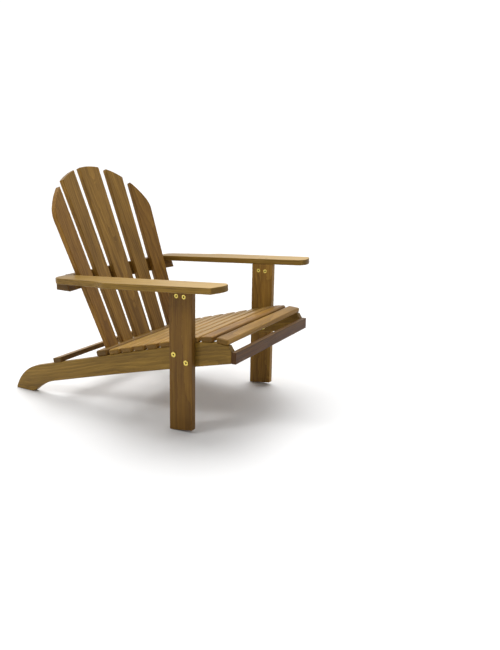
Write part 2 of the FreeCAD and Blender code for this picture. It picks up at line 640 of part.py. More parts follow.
# screws of the back slats: two from behind through the arm-level rail, one up into each foot
BACK = (("outer_right", "-places.outer_x"), ("middle_right", "-places.middle_x"),
        ("centre", "0"), ("middle_left", "places.middle_x"), ("outer_left", "places.outer_x"))
back_screws = {}
back_screw_bores = {}
foot_screws = {}
foot_screw_bores = {}
for name, x in BACK:
    for way in (-1, 1):
        across = f"{way} * sizes.back_screw_spacing / 2"
        behind = "places.back_screw_behind"
        back_screws[name, way] = wood_screw(
            f"back_screw_{name}_{way + 2}", "sizes.back_screw_length",
            on_back(x, across, "places.back_screw_up", behind, (("x", -90),)))
        back_screw_bores[name, way] = cylinder(
            f"back_screw_bore_{name}_{way + 2}",
            "sizes.screw_head_diameter + sizes.bolt_clearance", "60",
            on_back(x, across, "places.back_screw_up", behind, (("x", -90),)))
    head_up = "-sizes.back_foot_drop - sizes.foot_screw_head_drop"
    below = on_back(x, 0, head_up, "sizes.back_slat_thickness / 2", (("x", 180),))
    foot_screws[name] = wood_screw(f"foot_screw_{name}", "sizes.foot_screw_length", below)
    foot_screw_bores[name] = cylinder(
        f"foot_screw_bore_{name}", "sizes.screw_head_diameter + sizes.bolt_clearance",
        "sizes.lower_rail_thickness", below)
keep("back_rail_screws", group("back_rail_screws", list(back_screws.values())))
keep("slat_foot_screws", group("slat_foot_screws", list(foot_screws.values())))

# screws up through the ends of the arm-level rail into the arms
arm_screws = {}
arm_screw_bores = {}
for side, sign in SIDES:
    for name, way in (("front", -1), ("rear", 1)):
        tag = f"{side}_{name}"
        x = f"{sign} * (sizes.arm_inner_gap + sizes.back_rail_overhang) / 2"
        y = "(places.arm_rail_rear_y - sizes.arm_screw_setback"\
            f" + {way} * sizes.arm_screw_spacing / 2)"
        head_z = f"sizes.arm_height - ({y} - places.leg_front_y) * tan(sizes.arm_slope)"\
                 " - places.arm_drop - sizes.arm_screw_head_drop"
        arm_screws[tag] = wood_screw(f"arm_screw_{tag}", "sizes.arm_screw_length",
                                     at(x, y, head_z, ("x", 180)))
        arm_screw_bores[tag] = cylinder(
            f"arm_screw_bore_{tag}", "sizes.screw_head_diameter + sizes.bolt_clearance",
            "sizes.back_rail_height", at(x, y, head_z, ("x", 180)))
keep("arm_rear_screws", group("arm_rear_screws", list(arm_screws.values())))

# ----------------------------------------------------------------------------------------------
# Front legs and side rails
# ----------------------------------------------------------------------------------------------
leg_top_front = "(sizes.arm_height - places.arm_drop)"
leg_top_rear = "(sizes.arm_height - places.arm_drop - sizes.leg_width * tan(sizes.arm_slope))"
for side, sign in SIDES:
    corners = [("places.leg_front_y", "sizes.leg_foot_rise"),
               ("places.leg_front_y + sizes.leg_width - sizes.leg_foot_flat", "0"),
               ("places.leg_front_y + sizes.leg_width", "0"),
               ("places.leg_front_y + sizes.leg_width", leg_top_rear),
               ("places.leg_front_y", leg_top_front)]
    plank = board(f"front_leg_{side}_board", "YZ_Plane", corners, "sizes.leg_thickness",
                  "sizes.edge_rounding",
                  at(f"{sign} * places.barrel_x - sizes.leg_thickness / 2", 0, 0))
    holes = [leg_bolt_bores[f"{side}_high"], leg_bolt_bores[f"{side}_low"]]
    holes += [bore for tag, bore in barrel_bores.items() if tag.startswith(side)]
    holes += [bore for tag, bore in arm_bolt_bores.items() if tag.startswith(side)]
    keep(f"front_leg_{side}", cut(f"front_leg_{side}", plank, holes))

rail_corners = [
    ("places.rail_front_y", "sizes.side_rail_front_height"),
    ("places.heel_y - sizes.foot_neck", "sizes.side_rail_rear_height",
     "sizes.underside_radius", "left"),
    ("places.heel_y - sizes.foot_length - sizes.toe_run", "sizes.toe_rise",
     "sizes.foot_radius", "left"),
    ("places.heel_y - sizes.foot_length", "0"),
    ("places.heel_y", "0"),
    ("places.heel_y", "sizes.heel_rise"),
    ("places.heel_top_y", "sizes.heel_top_height", "sizes.heel_radius", "right"),
    ("places.slope_y", "places.slope_z"),
    ("places.nose_y", "places.nose_z", "sizes.crest_radius", "right"),
    ("places.rail_front_y", "places.apron_top_z"),
]
for side, sign in SIDES:
    plank = board(f"side_rail_{side}_board", "YZ_Plane", rail_corners, "sizes.side_rail_thickness",
                  "sizes.edge_rounding",
                  at(f"{sign} * (places.rail_outer_x - sizes.side_rail_thickness / 2)"
                     " - sizes.side_rail_thickness / 2", 0, 0))
    holes = [leg_bolt_bores[f"{side}_high"], leg_bolt_bores[f"{side}_low"]]
    holes += [screw for (where, _), screw in deck_screws.items() if where == side]
    holes += [dowel for (where, _), dowel in dowels.items() if where == side]
    keep(f"side_rail_{side}", cut(f"side_rail_{side}", plank, holes))

# ----------------------------------------------------------------------------------------------
# Apron, seat slats, lower back rail and rear stretcher
# ----------------------------------------------------------------------------------------------
def crossbar(name, width, thickness, rounding, placement, bow=None):
    """A bar across the chair: its outline is seen from above, its underside is its origin plane."""
    half = "places.seat_length / 2"
    corners = [(f"-{half}", f"-({width}) / 2"), (half, f"-({width}) / 2"), (half, f"({width}) / 2")]
    if bow:
        radius = f"(({half}) ^ 2 + ({bow}) ^ 2) / (2 * ({bow}))"
        corners.append((f"-{half}", f"({width}) / 2", radius, "right"))
    else:
        corners.append((f"-{half}", f"({width}) / 2"))
    return board(name, "XY_Plane", corners, thickness, rounding, placement)


apron = crossbar("front_apron_board", "sizes.apron_height", "sizes.apron_thickness",
                 "sizes.edge_rounding",
                 at(0, "places.rail_front_y",
                    "sizes.side_rail_front_height + sizes.apron_height / 2", ("x", 90)))
keep("front_apron", cut("front_apron", apron, list(dowels.values())))

for index in range(SLAT_COUNT):
    bar = crossbar(f"seat_slat_{index + 1}_board", "sizes.slat_width", "sizes.slat_thickness",
                   "sizes.slat_rounding", on_rail(deck_distances[index]))
    holes = [deck_screws[side, index] for side, _ in SIDES]
    holes += [deck_plugs[side, index] for side, _ in SIDES]
    keep(f"seat_slat_{index + 1}", cut(f"seat_slat_{index + 1}", bar, holes))

bar = crossbar("rear_stretcher_board", "sizes.stretcher_width", "sizes.stretcher_thickness",
               "sizes.edge_rounding", on_rail("sizes.stretcher_distance"))
holes = [deck_screws[side, SLAT_COUNT + 1] for side, _ in SIDES]
holes += [deck_plugs[side, SLAT_COUNT + 1] for side, _ in SIDES]
keep("rear_stretcher", cut("rear_stretcher", bar, holes))

# ----------------------------------------------------------------------------------------------
# Back slats: each outline is drawn flat, across and up from the middle of the slat
# ----------------------------------------------------------------------------------------------
FOOT = "(-sizes.back_foot_drop)"


def slat_outline(x, inner, outer):
    """Corners of a slat on the left side, from the flat plan of the whole back."""
    return [(f"places.{inner}_foot - {x}", FOOT),
            (f"places.{outer}_foot - {x}", FOOT),
            (f"places.{outer}_top_x - {x}", f"places.{outer}_top_z"),
            (f"places.{inner}_top_x - {x}", f"places.{inner}_top_z", "sizes.arch_radius", "right")]


def mirrored(corners):
    """The same outline on the right side of the chair, still in the same turning sense."""
    flipped = [(f"-({corner[0]})", corner[1]) for corner in corners]
    return [flipped[1], flipped[0], flipped[3], flipped[2] + ("sizes.arch_radius", "right")]


middle_outline = slat_outline("places.middle_x", "middle_inner", "middle_outer")
outer_outline = slat_outline("places.outer_x", "outer_inner", "outer_outer")
BACK_OUTLINES = {
    "outer_right": mirrored(outer_outline),
    "middle_right": mirrored(middle_outline),
    "centre": [("-places.centre_edge_foot", FOOT), ("places.centre_edge_foot", FOOT),
               ("places.centre_edge_top_x", "places.centre_edge_top_z"),
               ("-places.centre_edge_top_x", "places.centre_edge_top_z",
                "sizes.arch_radius", "right")],
    "middle_left": middle_outline,
    "outer_left": outer_outline,
}

for name, x in BACK:
    corners = BACK_OUTLINES[name]
    rounded = []
    if name.startswith("outer"):
        shoulder = corners[2] if name.endswith("left") else corners[3]
        rounded.append(("sizes.arch_corner_radius", shoulder[0], shoulder[1]))
    plank = board(f"back_slat_{name}_board", "XZ_Plane", corners, "sizes.back_slat_thickness",
                  "sizes.back_slat_rounding", on_back(x), reverse=True, rounded_corners=rounded)
    holes = [back_screws[name, -1], back_screws[name, 1], foot_screws[name]]
    keep(f"back_slat_{name}", cut(f"back_slat_{name}", plank, holes))

# ----------------------------------------------------------------------------------------------
# Lower back rail: the feet of the back slats stand in housings in its top
# ----------------------------------------------------------------------------------------------
bar = crossbar("lower_back_rail_board", "sizes.lower_rail_width", "sizes.lower_rail_thickness",
               "sizes.lower_rail_rounding", on_rail("places.lower_rail_distance"),
               bow="sizes.lower_rail_bow")
holes = [deck_screws[side, SLAT_COUNT] for side, _ in SIDES]
holes += [deck_plugs[side, SLAT_COUNT] for side, _ in SIDES]
holes += list(foot_screws.values()) + list(foot_screw_bores.values())
HOUSING_TOP = f"({FOOT} + 2 * sizes.lower_rail_thickness)"
EDGES_OF = {"outer": ("outer_inner", "outer_outer"), "middle": ("middle_inner", "middle_outer")}
for name, x in BACK:
    kind, _, side = name.partition("_")
    if kind == "centre":
        inner, outer, sign = "-places.centre_edge", "places.centre_edge", 1
    else:
        inner, outer = (f"places.{edge}" for edge in EDGES_OF[kind])
        sign = 1 if side == "left" else -1
    middle = "0" if kind == "centre" else f"places.{kind}_x"
    corners = []
    for edge, slack in ((inner, -1), (outer, 1)):
        flip = -1 if edge.startswith("-") else 1
        plain = edge.lstrip("-")
        for height in (FOOT, HOUSING_TOP):
            rise = f"({height} + sizes.back_foot_drop)"
            corners.append((f"{sign} * ({flip} * ({plain}_foot + {plain}_flare * {rise}) - {middle}"
                            f" + {slack} * sizes.housing_clearance)", height))
    order = (0, 2, 3, 1) if sign == 1 else (2, 0, 1, 3)
    housing = board(f"housing_{name}", "XZ_Plane", [corners[i] for i in order],
                    "sizes.back_slat_thickness + 2 * sizes.housing_clearance", None,
                    on_back(x, behind="-sizes.housing_clearance"), reverse=True)
    holes.append(housing)
keep("lower_back_rail", cut("lower_back_rail", bar, holes))

# ----------------------------------------------------------------------------------------------
# Arms
# ----------------------------------------------------------------------------------------------
ARM_PLAN = [("0", "0"), ("sizes.arm_nose_width", "0"),
            ("sizes.arm_tip_width", "sizes.arm_nose_fall"),
            ("sizes.arm_broad_width", "sizes.arm_step_front"),
            ("sizes.arm_waist_width", "sizes.arm_step_front + sizes.arm_step_length"),
            ("sizes.arm_rear_width", "places.arm_length"), ("0", "places.arm_length")]
ARM_CORNERS = [(0, "sizes.arm_tip_inner_radius"), (1, "sizes.arm_nose_radius"),
               (2, "sizes.arm_tip_outer_radius"), (3, "sizes.arm_step_radius"),
               (4, "sizes.arm_step_radius"), (5, "sizes.arm_rear_radius")]
for side, sign in SIDES:
    plan = [(f"{sign} * ({x})", y) for x, y in ARM_PLAN]
    rounded = [(radius, plan[index][0], plan[index][1]) for index, radius in ARM_CORNERS]
    if sign < 0:
        plan.reverse()
    plank = board(f"arm_{side}_board", "XY_Plane", plan, "sizes.arm_thickness",
                  "sizes.arm_rounding",
                  at(f"{sign} * sizes.arm_inner_gap / 2", "places.arm_tip_y", "places.arm_tip_z",
                     ("x", "-sizes.arm_slope")), reverse=True, rounded_corners=rounded)
    holes = []
    for where in ("front", "rear"):
        tag = f"{side}_{where}"
        holes += [arm_bolts[tag], arm_bolt_bores[tag], arm_bolt_plugs[tag], arm_screws[tag]]
        holes.append(arm_bolt_mouths[tag])
    keep(f"arm_{side}", cut(f"arm_{side}", plank, holes))

# ----------------------------------------------------------------------------------------------
# Arm-level back rail: its front is faceted to fit the back slats, its ends carry the arms
# ----------------------------------------------------------------------------------------------
blank_front = "(places.arm_rail_rear_y - 110)"
blank = board("arm_back_rail_blank", "YZ_Plane", [
    (blank_front, "places.arm_rail_low_z"),
    ("places.arm_rail_rear_y", "places.arm_rail_low_z"),
    ("places.arm_rail_rear_y", "places.arm_rail_top_z"),
    (blank_front, "places.arm_rail_top_z + 110 * tan(sizes.arm_slope)"),
], "2 * places.arm_rail_end_x", placement=HERE, midplane=True)
facets = board("arm_back_rail_facets", "XY_Plane", [
    ("-places.facet_end_x", "-200"),
    ("places.facet_end_x", "-200"),
    ("places.facet_end_x", "places.facet_end_y"),
    ("places.outer_fold_x", "places.outer_fold_y"),
    ("places.inner_fold_x", "sizes.back_slat_thickness"),
    ("-places.inner_fold_x", "sizes.back_slat_thickness"),
    ("-places.outer_fold_x", "places.outer_fold_y"),
    ("-places.facet_end_x", "places.facet_end_y"),
], "800", placement=on_back("0"), midplane=True)
rebates = []
for side, sign in SIDES:
    rebate = doc.addObject("Part::Box", f"arm_rebate_{side}")
    rebate.setExpression("Length", "sizes.back_rail_overhang + 10")
    rebate.setExpression("Width", "places.arm_length + 50")
    rebate.setExpression("Height", "2 * sizes.arm_thickness")
    inner = "sizes.arm_inner_gap / 2" if sign > 0 else "-(places.arm_rail_end_x + 10)"
    rebate.setExpression("Placement", at(
        inner, "places.arm_tip_y - sizes.arm_thickness * sin(sizes.arm_slope)",
        "places.arm_tip_z - sizes.arm_thickness * cos(sizes.arm_slope)",
        ("x", "-sizes.arm_slope")))
    rebates.append(rebate)
shaped = cut("arm_back_rail_shape", blank, [facets] + rebates)
softened = soften("arm_back_rail_board", shaped, "sizes.edge_rounding",
                  lambda edge: edge.BoundBox.XLength > 300 or
                  (edge.BoundBox.XLength < 1 and abs(edge.CenterOfMass.x)
                   > number("places.arm_rail_end_x") - 1))
holes = list(back_screws.values()) + list(back_screw_bores.values())
holes += list(arm_screws.values()) + list(arm_screw_bores.values())
keep("arm_back_rail", cut("arm_back_rail", softened, holes))

# ----------------------------------------------------------------------------------------------
# Checks and export
# ----------------------------------------------------------------------------------------------
doc.recompute()
for item in doc.Objects:
    if "Invalid" in item.State or "Error" in item.State:
        raise RuntimeError(f"{item.Name} did not build: {item.State}")
for name, piece in nodes.items():
    if piece.Shape.isNull() or not piece.Shape.isValid():
        raise RuntimeError(f"{name} has no valid shape")
    piece.Shape.exportStep(f"parts/{name}.step")
    print(name, len(piece.Shape.Solids), round(piece.Shape.Volume))
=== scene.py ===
# %% [markdown]
# # A garden chair in oiled teak
# The chair is a rigid one: thick planks of teak, joined with brass bolts and hidden screws.
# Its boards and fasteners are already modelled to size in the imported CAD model, so this lesson is
# about finish. Each board gets a teak of its own, cut from another place in the log and laid along
# its own length, because that is what stops a wooden object from looking moulded in one piece.

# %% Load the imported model
import math
import random

import bmesh
import bpy
from mathutils import Matrix, Vector


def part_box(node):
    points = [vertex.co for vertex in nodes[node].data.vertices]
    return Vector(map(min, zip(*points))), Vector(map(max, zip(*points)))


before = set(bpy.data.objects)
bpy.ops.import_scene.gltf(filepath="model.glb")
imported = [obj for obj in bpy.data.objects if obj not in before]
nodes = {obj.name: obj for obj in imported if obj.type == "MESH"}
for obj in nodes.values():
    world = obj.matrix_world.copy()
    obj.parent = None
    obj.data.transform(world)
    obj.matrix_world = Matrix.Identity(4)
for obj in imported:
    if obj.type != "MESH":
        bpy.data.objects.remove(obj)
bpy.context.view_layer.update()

# %% [markdown]
# ## Helpers
# Colours are read as sRGB hex values, as a paint chart gives them, and a shader wants them linear.
# One small function adds a node, sets it up and joins its inputs, so a material reads from top to
# bottom like a recipe.

# %% Colour and node helpers
MM = 0.001


def linear(hex_colour):
    """An sRGB hex colour as linear red, green, blue and alpha."""
    channels = [int(hex_colour[i:i + 2], 16) / 255 for i in (1, 3, 5)]
    return [c / 12.92 if c <= 0.04045 else ((c + 0.055) / 1.055) ** 2.4 for c in channels] + [1.0]


def add(tree, kind, inputs=None, **settings):
    """Add a node, set it up, and join or fill its inputs by name or number."""
    node = tree.nodes.new(kind)
    for key, value in settings.items():
        setattr(node, key, value)
    for socket, value in (inputs or {}).items():
        if isinstance(value, bpy.types.NodeSocket):
            tree.links.new(value, node.inputs[socket])
        else:
            node.inputs[socket].default_value = value
    return node


print("white is", linear("#ffffff"))

# %% [markdown]
# ## How each board lies
# Wood is made of fibres that run along the log, so its pattern has a direction. On this chair each
# kind of board has its own: the legs upright, the slats across, the arms and side rails along their
# slope, and the back slats up along the leaning back. A rotation that turns the board's own length
# to X lets one recipe serve them all.

# %% Grain directions
SEAT_SLOPE = math.radians(15.65)
ARM_SLOPE = math.radians(3.8)
BACK_LEAN = math.radians(21.9)
UPRIGHT = Vector((0, 0, 1))
ACROSS = Vector((1, 0, 0))
ALONG_ARM = Vector((0, math.cos(ARM_SLOPE), -math.sin(ARM_SLOPE)))
ALONG_SEAT = Vector((0, math.cos(SEAT_SLOPE), -math.sin(SEAT_SLOPE)))
UP_THE_BACK = Vector((0, math.sin(BACK_LEAN), math.cos(BACK_LEAN)))


def board_turn(grain, face):
    """Rotation that takes the grain to X and the board's broad face to Z."""
    side = face.cross(grain).normalized()
    return Matrix((grain, side, grain.cross(side)))


print("back slats lean", round(math.degrees(BACK_LEAN), 1), "degrees")

# %% [markdown]
# ## The teak recipe
# Oiled teak is golden brown with darker growth rings, fine straight fibres and a soft, slightly
# waxy shine. Its tops are painted paler, a painted highlight that stands in for the light from
# above, and its end grain drinks the oil and goes dark.
# Rings are drawn as tubes around the heart of the log, which lies outside the board. Where the
# board cuts them at a shallow angle they open into the tall arches that carpenters call cathedrals.

# %% Teak material
RING_SPACING = 7 * MM
FIBRE_WIDTH = 2.2 * MM       # real fibres are finer; drawn this coarse so that they show
FIBRE_LENGTH = 260 * MM
PATCH_WIDTH = 45 * MM
PATCH_LENGTH = 420 * MM
STREAK_WIDTH = 6 * MM
STREAK_LENGTH = 600 * MM
WOBBLE = 14 * MM
WAVE_PERIOD = 2 * math.pi / 20   # the ring pattern's period at scale 1, in metres
RING_WAVINESS = 2.5
DRIFTS_PER_METRE = (2.2, 5.0, 5.0)   # slow bends of the fibres, along and across the board
LOG_REACH = 40                   # metres of log that the boards are cut from, either way
RING_SHARE, FIBRE_SHARE, PATCH_SHARE, STREAK_SHARE = 0.20, 0.55, 0.60, 0.45
FIGURE_DARKEST, FIGURE_LIGHTEST = 0.62, 1.22   # sums of the shares that take the end tones
PAINTED_TOP_LIGHT_STARTS_AT = 0.55             # upward part of the normal where the painted top light begins
END_STARTS_AT, END_IS_FULL_AT, END_SHARE = 0.6, 0.95, 0.75
DRY_ROUGHNESS, OILED_ROUGHNESS = 0.52, 0.40
FIBRE_RELIEF = 0.6 * MM
RELIEF_STRENGTH = 0.35
TEAK_IOR = 1.5
OIL_SHEEN = 0.18                 # specular level; matt, because the oil has sunk in


def teak(name, grain, face, centre, half, heart, tilt, tones, painted_top_light, draw):
    """One board's teak.

    centre and half give the board's place and half its size; heart is the log's centre line as
    seen from the board, in millimetres; painted_top_light holds the painted light on its top at
    front and rear.
    """
    dark, middle, light, end = (linear(tone) for tone in tones)
    material = bpy.data.materials.new(name)
    material.use_nodes = True
    tree = material.node_tree
    tree.nodes.clear()
    turn = Matrix.Rotation(math.radians(tilt), 3, "Y") @ board_turn(grain, face)
    along_log = draw.uniform(-LOG_REACH, LOG_REACH)
    shift = -(turn @ centre) + Vector((along_log, heart[0] * MM, heart[1] * MM))
    place = add(tree, "ShaderNodeTexCoord")
    board = add(tree, "ShaderNodeMapping", {"Vector": place.outputs["Object"], "Location": shift,
                                            "Rotation": turn.to_euler("XYZ")})
    drift = add(tree, "ShaderNodeMapping", {"Vector": board.outputs[0],
                                            "Scale": DRIFTS_PER_METRE})
    drift_noise = add(tree, "ShaderNodeTexNoise", {"Vector": drift.outputs[0], "Scale": 1.0,
                                                   "Detail": 2.0})
    wavy = add(tree, "ShaderNodeVectorMath",
               {0: drift_noise.outputs["Color"], 1: (0, WOBBLE * 2, WOBBLE * 2),
                2: board.outputs[0]}, operation="MULTIPLY_ADD")
    rings = add(tree, "ShaderNodeTexWave",
                {"Vector": wavy.outputs[0], "Scale": WAVE_PERIOD / RING_SPACING,
                 "Distortion": RING_WAVINESS, "Detail": 3.0, "Detail Scale": 0.6,
                 "Detail Roughness": 0.6},
                wave_type="RINGS", rings_direction="X", wave_profile="SAW")

    def stretched(length, width, detail, roughness=0.55):
        """Noise drawn out along the grain."""
        scale = (1 / length, 1 / width, 1 / width)
        mapped = add(tree, "ShaderNodeMapping", {"Vector": wavy.outputs[0], "Scale": scale})
        return add(tree, "ShaderNodeTexNoise", {"Vector": mapped.outputs[0], "Scale": 1.0,
                                                "Detail": detail, "Roughness": roughness})

    fibres = stretched(FIBRE_LENGTH, FIBRE_WIDTH, 3.0)
    patches = stretched(PATCH_LENGTH, PATCH_WIDTH, 2.0)
    streaks = stretched(STREAK_LENGTH, STREAK_WIDTH, 2.0)

    # figure: rings, fibres and broad patches, weighed together
    ring_part = add(tree, "ShaderNodeMath", {0: rings.outputs["Fac"], 1: RING_SHARE},
                    operation="MULTIPLY")
    fibre_part = add(tree, "ShaderNodeMath", {0: fibres.outputs["Fac"], 1: FIBRE_SHARE,
                                              2: ring_part.outputs[0]}, operation="MULTIPLY_ADD")
    patch_part = add(tree, "ShaderNodeMath", {0: patches.outputs["Fac"], 1: PATCH_SHARE,
                                              2: fibre_part.outputs[0]}, operation="MULTIPLY_ADD")
    figure = add(tree, "ShaderNodeMath", {0: streaks.outputs["Fac"], 1: STREAK_SHARE,
                                          2: patch_part.outputs[0]}, operation="MULTIPLY_ADD")
    spread = add(tree, "ShaderNodeMapRange", {"Value": figure.outputs[0],
                                              "From Min": FIGURE_DARKEST,
                                              "From Max": FIGURE_LIGHTEST})
    ramp = add(tree, "ShaderNodeValToRGB", {"Fac": spread.outputs[0]})
    ramp.color_ramp.elements[0].color = dark
    ramp.color_ramp.elements[1].color = light
    ramp.color_ramp.elements.new(0.5).color = middle

    # painted light: upward faces are painted paler, standing in for the light from above
    normal = add(tree, "ShaderNodeSeparateXYZ", {0: place.outputs["Normal"]})
    upward = add(tree, "ShaderNodeMapRange", {"Value": normal.outputs["Z"],
                                              "From Min": PAINTED_TOP_LIGHT_STARTS_AT, "From Max": 1.0})
    # painted light and shade from front to rear: an arm's top is painted darker at the rear, where
    # the back shades it
    spot = add(tree, "ShaderNodeSeparateXYZ", {0: place.outputs["Object"]})
    front_to_rear_light = add(tree, "ShaderNodeMapRange", {"Value": spot.outputs["Y"],
                                            "From Min": centre.y - half.y,
                                            "From Max": centre.y + half.y,
                                            "To Min": painted_top_light[0], "To Max": painted_top_light[1]})
    painted_top_light_share = add(tree, "ShaderNodeMath", {0: upward.outputs[0], 1: front_to_rear_light.outputs[0]},
                operation="MULTIPLY")
    painted_top_lit = add(tree, "ShaderNodeMix",
                   {"Factor": painted_top_light_share.outputs[0], "A": ramp.outputs["Color"],
                    "B": linear(PAINTED_TOP_LIGHT_TONE)}, data_type="RGBA")
    # end grain is darker
    along = add(tree, "ShaderNodeVectorMath", {0: place.outputs["Normal"], 1: grain},
                operation="DOT_PRODUCT")
    facing_end = add(tree, "ShaderNodeMath", {0: along.outputs["Value"]}, operation="ABSOLUTE")
    end_share = add(tree, "ShaderNodeMapRange", {"Value": facing_end.outputs[0],
                                                 "From Min": END_STARTS_AT,
                                                 "From Max": END_IS_FULL_AT,
                                                 "To Max": END_SHARE})
    colour = add(tree, "ShaderNodeMix", {"Factor": end_share.outputs[0],
                                         "A": painted_top_lit.outputs["Result"], "B": end},
                 data_type="RGBA")
    shine = add(tree, "ShaderNodeMapRange", {"Value": fibres.outputs["Fac"], "From Min": 0.3,
                                             "From Max": 0.7, "To Min": DRY_ROUGHNESS,
                                             "To Max": OILED_ROUGHNESS})
    relief = add(tree, "ShaderNodeBump", {"Height": fibres.outputs["Fac"],
                                          "Strength": RELIEF_STRENGTH,
                                          "Distance": FIBRE_RELIEF})
    surface = add(tree, "ShaderNodeBsdfPrincipled",
                  {"Base Color": colour.outputs["Result"], "Roughness": shine.outputs[0],
                   "Normal": relief.outputs[0], "IOR": TEAK_IOR,
                   "Specular IOR Level": OIL_SHEEN})
    add(tree, "ShaderNodeOutputMaterial", {"Surface": surface.outputs[0]})
    return material


print("growth rings lie", round(RING_SPACING / MM, 1), "mm apart")

# %% [markdown]
# ## A cut and a tone for every board
# A joiner picks boards from many logs, so neighbours differ in tone and in how the rings run. Each
# board here is given its grain direction, the face that shows, the heart of its log, a slight
# tilt and a set of four tones. The draws are seeded, so the chair comes out the same every time.

# %% Which tones and which cut each board has
# dark, middle, light and end grain
GOLDEN = ("#634519", "#876428", "#a47c35", "#614617")
OLIVE = ("#5b4318", "#7b5e23", "#967531", "#634919")
RUSSET = ("#5f4015", "#825c22", "#9e772f", "#584015")
BROWN = ("#533812", "#6c4c1a", "#846223", "#4d3711")
DARK = ("#372007", "#4b2d0d", "#603d13", "#462b0a")
# the pale tone of the painted top light, a painted highlight for light from above
PAINTED_TOP_LIGHT_TONE = "#b89758"

# how much painted top light a board takes at its front and rear
# the arms' tops are painted pale at the front and dark at the rear, as painted shade from the back
NO_PAINTED_LIGHT, ARM_PAINTED_LIGHT_AND_SHADE, BACK_PAINTED_LIGHT = (0, 0), (0.75, 0.05), (0.05, 0.05)
FRONT_SLAT_PAINTED_LIGHT, SEAT_PAINTED_LIGHT = (0.05, 0.05), (0.35, 0.35)
RAIL_PAINTED_LIGHT, APRON_PAINTED_LIGHT, PLUG_PAINTED_LIGHT = (0.15, 0.15), (0.1, 0.1), (0.2, 0.2)

FRONTWARD = Vector((0, -1, 0))
SIDEWARD = Vector((-1, 0, 0))
draw = random.Random(11)
BOARDS = {}


def plan(node, grain, face, heart, tilt, tones, painted_top_light):
    """Note one board's cut, tones and painted top light for the loop below."""
    BOARDS[node] = (grain, face, heart, tilt, tones, painted_top_light)


for side in ("right", "left"):
    plan(f"front_leg_{side}", UPRIGHT, SIDEWARD, (30, 160), 0.6,
         BROWN if side == "right" else GOLDEN, NO_PAINTED_LIGHT)
    plan(f"side_rail_{side}", ALONG_SEAT, SIDEWARD, (-55, 70), 1.2, OLIVE, NO_PAINTED_LIGHT)
    plan(f"arm_{side}", ALONG_ARM, UPRIGHT, (20, 220), 0.5, OLIVE, ARM_PAINTED_LIGHT_AND_SHADE)
BACK_CUTS = {"outer_right": ((15, 45), 3.5, RUSSET), "middle_right": ((60, 120), 0.8, GOLDEN),
             "centre": ((-10, 60), 1.6, GOLDEN), "middle_left": ((80, 90), 0.7, GOLDEN),
             "outer_left": ((25, 80), 1.5, RUSSET)}
for name, (heart, tilt, tones) in BACK_CUTS.items():
    plan(f"back_slat_{name}", UP_THE_BACK, FRONTWARD, heart, tilt, tones, BACK_PAINTED_LIGHT)
for number in range(1, 10):
    heart = (draw.uniform(-60, 60), draw.uniform(50, 160))
    tones = RUSSET if number in (2, 3, 6) else GOLDEN
    plan(f"seat_slat_{number}", ACROSS, UPRIGHT, heart, draw.uniform(0.3, 1.8), tones,
         FRONT_SLAT_PAINTED_LIGHT if number < 3 else SEAT_PAINTED_LIGHT)
for node in ("lower_back_rail", "arm_back_rail", "rear_stretcher"):
    plan(node, ACROSS, FRONTWARD, (draw.uniform(-60, 60), draw.uniform(50, 160)), 0.8, BROWN,
         RAIL_PAINTED_LIGHT)
plan("front_apron", ACROSS, FRONTWARD, (20, 90), 0.8, DARK, APRON_PAINTED_LIGHT)
for node in ("arm_bolt_plugs", "deck_screw_plugs", "apron_dowels"):
    plan(node, ACROSS, UPRIGHT, (30, 60), 1.0, GOLDEN, PLUG_PAINTED_LIGHT)

for node, (grain, face, heart, tilt, tones, painted_top_light) in BOARDS.items():
    low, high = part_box(node)
    finish = teak(f"teak_{node}", grain, face, (low + high) / 2, (high - low) / 2, heart, tilt,
                  tones, painted_top_light, draw)
    nodes[node].data.materials.clear()
    nodes[node].data.materials.append(finish)
print(len(BOARDS), "boards have their own teak")

# %% [markdown]
# ## Brass and steel
# The bolts and barrel nuts are turned brass with a satin face. Brass is an alloy of copper and
# zinc, so it is a yellow metal with a warm edge to its shine, and it dulls unevenly outdoors. The
# end faces are left clean; the sockets and the rims are painted dark, partly as tarnish and old oil
# and partly as painted shade in the hollows. How deep a surface lies below the end face decides
# that, so a mask on its place is enough. The hidden screws are zinc plated steel.

# %% Metal materials
BRASS, DULL_BRASS, TARNISH_AND_SHADE_TONE = "#e3cf6e", "#a98c3c", "#3a2c14"
SATIN = (0.30, 0.45)                 # roughness where clean and where dull
BRASS_GRIT = 3 * MM
ZINC, DULL_ZINC = "#c9c9c6", "#9a9a98"
PLATED = (0.35, 0.5)
ZINC_GRIT = 2 * MM
RUBBED_DEPTH = 0.3 * MM
TARNISH_AND_SHADE_DEPTH = 0.9 * MM
CLEAN_BELOW, DULL_ABOVE = 0.4, 0.7   # where the spots' noise counts as clean or dull


